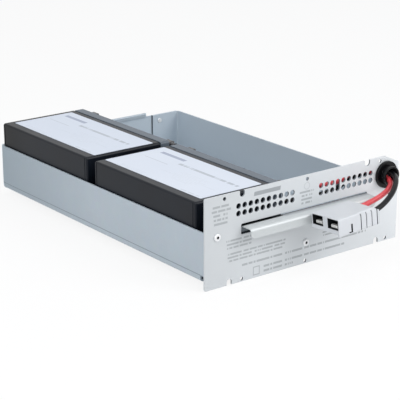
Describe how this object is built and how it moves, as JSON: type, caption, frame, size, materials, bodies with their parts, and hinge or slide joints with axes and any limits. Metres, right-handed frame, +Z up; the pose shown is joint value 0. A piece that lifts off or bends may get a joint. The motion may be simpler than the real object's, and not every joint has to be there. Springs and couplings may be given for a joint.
{
  "type": "ups battery cartridge",
  "caption": "Slide-in battery cartridge: folded steel tray with a pull handle and vented front panel, sealed batteries inside, and a two-pole plug on short leads.",
  "frame": {"origin": "middle of the width and depth of the steelwork (tray, panel and handle), level with the front panel's lower edge", "axes": "+Y from the front panel to the tray's rear, +X to the right seen from the front, +Z up"},
  "size_m": [0.2214, 0.3822, 0.0808],
  "materials": {
    "galvanised_steel": "plain zinc-coated sheet, soft sheen",
    "panel_steel": "pale grey, satin",
    "handle_steel": "off-white, satin",
    "rivet_metal": "plain, satin",
    "black_rubber": "moulded, matt",
    "foam_tape": "white adhesive foam",
    "connector_plastic": "pale grey moulding",
    "silvered_contact": "silver-plated copper",
    "spring_steel": "bright spring strip",
    "red_insulation": "soft insulation, satin",
    "black_insulation": "soft insulation, satin",
    "case_plastic": "black moulding",
    "lid_plastic": "dark grey moulding",
    "label_paper": "coated white film",
    "tinned_brass": "tin-plated",
    "boot_vinyl": "soft vinyl sleeve"
  },
  "bodies": {
    "root": {"black_contact": "silvered_contact", "black_contact_spring": "spring_steel", "black_lead": "black_insulation", "cable_grommet": "black_rubber", "connector_housing": "connector_plastic", "front_battery_case": "case_plastic", "front_battery_label": "label_paper", "front_battery_lid": "lid_plastic", "front_battery_negative_boot": "boot_vinyl", "front_battery_negative_receptacle": "tinned_brass", "front_battery_negative_tab": "tinned_brass", "front_battery_positive_boot": "boot_vinyl", "front_battery_positive_receptacle": "tinned_brass", "front_battery_positive_tab": "tinned_brass", "front_battery_vent_strip": "lid_plastic", "front_panel": "panel_steel", "jumper_lead": "black_insulation", "mounting_tape": "foam_tape", "panel_rivets": "rivet_metal", "pull_handle": "handle_steel", "rear_battery_case": "case_plastic", "rear_battery_label": "label_paper", "rear_battery_lid": "lid_plastic", "rear_battery_negative_boot": "boot_vinyl", "rear_battery_negative_receptacle": "tinned_brass", "rear_battery_negative_tab": "tinned_brass", "rear_battery_positive_boot": "boot_vinyl", "rear_battery_positive_receptacle": "tinned_brass", "rear_battery_positive_tab": "tinned_brass", "rear_battery_vent_strip": "lid_plastic", "rear_rivets": "rivet_metal", "red_contact": "silvered_contact", "red_contact_spring": "spring_steel", "red_lead": "red_insulation", "tray": "galvanised_steel"}
  },
  "joints": []
}
